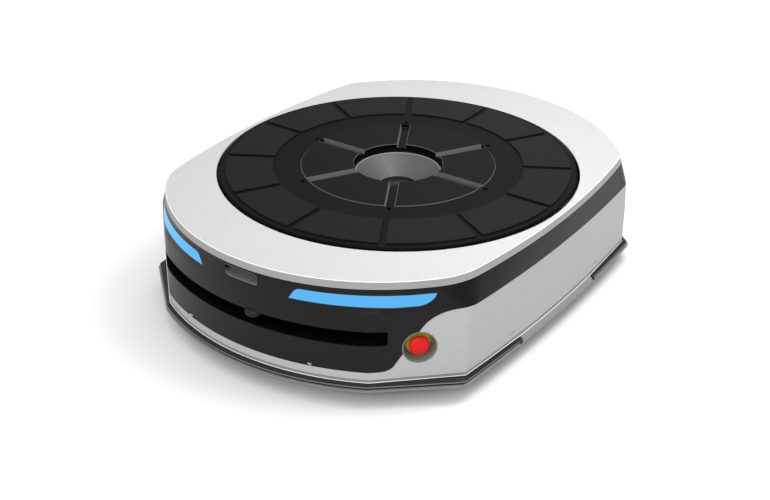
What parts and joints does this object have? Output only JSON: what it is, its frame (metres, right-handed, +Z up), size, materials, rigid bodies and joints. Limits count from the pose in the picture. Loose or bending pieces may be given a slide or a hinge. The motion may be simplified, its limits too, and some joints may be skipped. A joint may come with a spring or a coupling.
{
  "type": "autonomous mobile robot",
  "caption": "Low wheeled lifting robot with a slotted turntable on a rising platform, scanner slot, light strips, wrap-round bumpers and recessed stop buttons.",
  "frame": {"origin": "centre of the plan, at floor level under the wheels", "axes": "+Z up, the robot's front faces -Y, +X is across the robot; the long side runs along Y"},
  "size_m": [0.8422, 1.0918, 0.273],
  "materials": {
    "deck_white": "speckled satin powder coat",
    "body_grey": "speckled satin powder coat",
    "fascia_black": "satin black moulding",
    "inner_black": "matt black",
    "trim_grey": "fine grain",
    "lamp_blue": "lit diffuser",
    "bumper_rubber": "smooth rubber",
    "cap_black": "fine grain",
    "table_steel": "black satin coat",
    "pad_rubber": "fine grain",
    "funnel_grey": "satin grey",
    "steel": "machined",
    "dark_steel": "black oxide",
    "frame_grey": "powder coat",
    "motor_black": "satin",
    "glass": "coated lens",
    "scanner_black": "smoked window",
    "stop_red": "moulded",
    "stop_yellow": "moulded",
    "recess_grey": "satin",
    "wheel_pu": "polyurethane",
    "cast_alu": "cast",
    "pack_grey": "satin"
  },
  "bodies": {
    "chassis": {"base_tray": "body_grey", "body_shell": "body_grey", "deck_cover": "deck_white", "front_fascia": "fascia_black", "rear_fascia": "fascia_black", "side_band_left": "fascia_black", "side_band_right": "fascia_black", "lamp_front_left": "lamp_blue", "lamp_front_right": "lamp_blue", "lamp_rear_left": "lamp_blue", "lamp_rear_right": "lamp_blue", "front_grip": "trim_grey", "fascia_clips": "steel", "scan_bay": "inner_black", "scanner_body": "motor_black", "chassis_frame": "frame_grey", "caster_plates": "dark_steel", "caster_bolts": "steel", "drive_unit_left": "motor_black", "drive_unit_right": "motor_black", "lift_cylinders": "frame_grey", "battery_pack": "pack_grey", "control_unit": "cast_alu", "floor_camera": "motor_black", "stop_cup_left": "recess_grey", "stop_cup_right": "recess_grey", "stop_ring_left": "stop_yellow", "stop_ring_right": "stop_yellow"},
    "scanner": {"scanner_rotor": "scanner_black"},
    "stop_left": {"stop_head_left": "stop_red"},
    "drive_wheel_left": {"drive_hub_left": "cast_alu", "drive_tyre_left": "wheel_pu"},
    "stop_right": {"stop_head_right": "stop_red"},
    "drive_wheel_right": {"drive_hub_right": "cast_alu", "drive_tyre_right": "wheel_pu"},
    "bumper_front": {"bumper_front": "bumper_rubber", "bumper_caps_front": "cap_black"},
    "bumper_rear": {"bumper_rear": "bumper_rubber", "bumper_caps_rear": "cap_black"},
    "caster_front_left": {"caster_fork_front_left": "dark_steel"},
    "caster_wheel_front_left": {"caster_wheel_front_left": "wheel_pu"},
    "caster_front_right": {"caster_fork_front_right": "dark_steel"},
    "caster_wheel_front_right": {"caster_wheel_front_right": "wheel_pu"},
    "caster_rear_left": {"caster_fork_rear_left": "dark_steel"},
    "caster_wheel_rear_left": {"caster_wheel_rear_left": "wheel_pu"},
    "caster_rear_right": {"caster_fork_rear_right": "dark_steel"},
    "caster_wheel_rear_right": {"caster_wheel_rear_right": "wheel_pu"},
    "lift": {"lift_platform": "frame_grey", "lift_rods": "steel", "camera_funnel": "funnel_grey", "lift_camera": "motor_black", "camera_lens": "glass", "slewing_race": "steel", "slewing_motor": "motor_black"},
    "turntable": {"turntable_plate": "table_steel", "turntable_hub": "table_steel", "turntable_pads": "pad_rubber", "slewing_gear": "steel"},
    "pinion": {"slewing_pinion": "steel"}
  },
  "joints": [
    {"name": "lift_slide", "type": "slide", "parent": "chassis", "child": "lift", "axis": [0, 0, 1], "range_m": [0, 0.06]},
    {"name": "turntable_turn", "type": "hinge", "parent": "lift", "child": "turntable", "pos_m": [0, 0, 0.262], "axis": [0, 0, 1], "continuous": true},
    {"name": "pinion_turn", "type": "hinge", "parent": "lift", "child": "pinion", "pos_m": [0.222, 0, 0.246], "axis": [0, 0, 1], "continuous": true},
    {"name": "scanner_turn", "type": "hinge", "parent": "chassis", "child": "scanner", "pos_m": [0, -0.486, 0.17], "axis": [0, 0, 1], "continuous": true},
    {"name": "drive_turn_left", "type": "hinge", "parent": "chassis", "child": "drive_wheel_left", "pos_m": [-0.345, 0, 0.09], "axis": [1, 0, 0], "continuous": true},
    {"name": "stop_push_left", "type": "slide", "parent": "chassis", "child": "stop_left", "axis": [0.6942, 0.7198, 0], "range_m": [0, 0.004], "stiffness_N_per_m": 1500},
    {"name": "drive_turn_right", "type": "hinge", "parent": "chassis", "child": "drive_wheel_right", "pos_m": [0.345, 0, 0.09], "axis": [1, 0, 0], "continuous": true},
    {"name": "stop_push_right", "type": "slide", "parent": "chassis", "child": "stop_right", "axis": [-0.6942, 0.7198, 0], "range_m": [0, 0.004], "stiffness_N_per_m": 1500},
    {"name": "swivel_front_left", "type": "hinge", "parent": "chassis", "child": "caster_front_left", "pos_m": [-0.24, -0.375, 0.09], "axis": [0, 0, 1], "continuous": true},
    {"name": "roll_front_left", "type": "hinge", "parent": "caster_front_left", "child": "caster_wheel_front_left", "pos_m": [-0.24, -0.353, 0.0375], "axis": [1, 0, 0], "continuous": true},
    {"name": "swivel_front_right", "type": "hinge", "parent": "chassis", "child": "caster_front_right", "pos_m": [0.24, -0.375, 0.09], "axis": [0, 0, 1], "continuous": true},
    {"name": "roll_front_right", "type": "hinge", "parent": "caster_front_right", "child": "caster_wheel_front_right", "pos_m": [0.24, -0.353, 0.0375], "axis": [1, 0, 0], "continuous": true},
    {"name": "swivel_rear_left", "type": "hinge", "parent": "chassis", "child": "caster_rear_left", "pos_m": [-0.24, 0.365, 0.09], "axis": [0, 0, 1], "continuous": true},
    {"name": "roll_rear_left", "type": "hinge", "parent": "caster_rear_left", "child": "caster_wheel_rear_left", "pos_m": [-0.24, 0.387, 0.0375], "axis": [1, 0, 0], "continuous": true},
    {"name": "swivel_rear_right", "type": "hinge", "parent": "chassis", "child": "caster_rear_right", "pos_m": [0.24, 0.365, 0.09], "axis": [0, 0, 1], "continuous": true},
    {"name": "roll_rear_right", "type": "hinge", "parent": "caster_rear_right", "child": "caster_wheel_rear_right", "pos_m": [0.24, 0.387, 0.0375], "axis": [1, 0, 0], "continuous": true},
    {"name": "bumper_press_front", "type": "slide", "parent": "chassis", "child": "bumper_front", "axis": [0, 1, 0], "range_m": [0, 0.004], "stiffness_N_per_m": 6000},
    {"name": "bumper_press_rear", "type": "slide", "parent": "chassis", "child": "bumper_rear", "axis": [0, -1, 0], "range_m": [0, 0.004], "stiffness_N_per_m": 6000}
  ],
  "couplings": [
    {"joint": "pinion_turn", "follows": "turntable_turn", "ratio": -4.2857}
  ]
}
